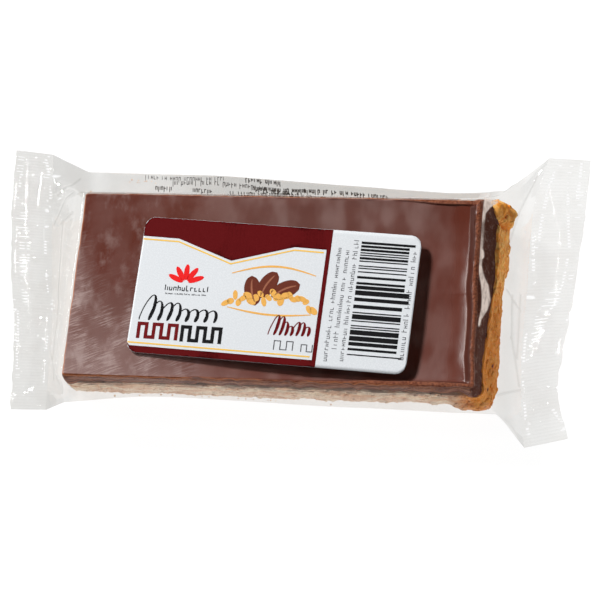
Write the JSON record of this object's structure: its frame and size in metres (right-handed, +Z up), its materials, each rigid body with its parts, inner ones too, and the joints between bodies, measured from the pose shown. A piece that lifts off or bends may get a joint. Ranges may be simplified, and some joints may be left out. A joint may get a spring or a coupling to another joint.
{
  "type": "wrapped granola bar",
  "caption": "Chocolate-topped oat bar lying in a clear flow wrap with crimped end fins, a back seam and a paper label on top.",
  "frame": {"origin": "middle of the pack's outline seen from above, on the surface that the pack lies on", "axes": "+X along the bar towards the end whose fin climbs, +Y towards the back flap of loose film, +Z up out of the label"},
  "size_m": [0.162, 0.0784, 0.0208],
  "materials": {
    "clear_film": "clear, colourless, glossy wrapping film with soft wrinkles and white glints on its crimped ends",
    "label_paper": "smooth coated white paper with printed fields of deep maroon, thin gold lines and small dark marks",
    "chocolate": "smooth milk-dark chocolate coating, glossy where the film touches it and rough and lighter where it was cut",
    "oats": "baked rolled oats in golden syrup, rough and slightly sticky"
  },
  "bodies": {
    "root": {"film_pack": "clear_film", "front_label": "label_paper"}
  },
  "joints": []
}
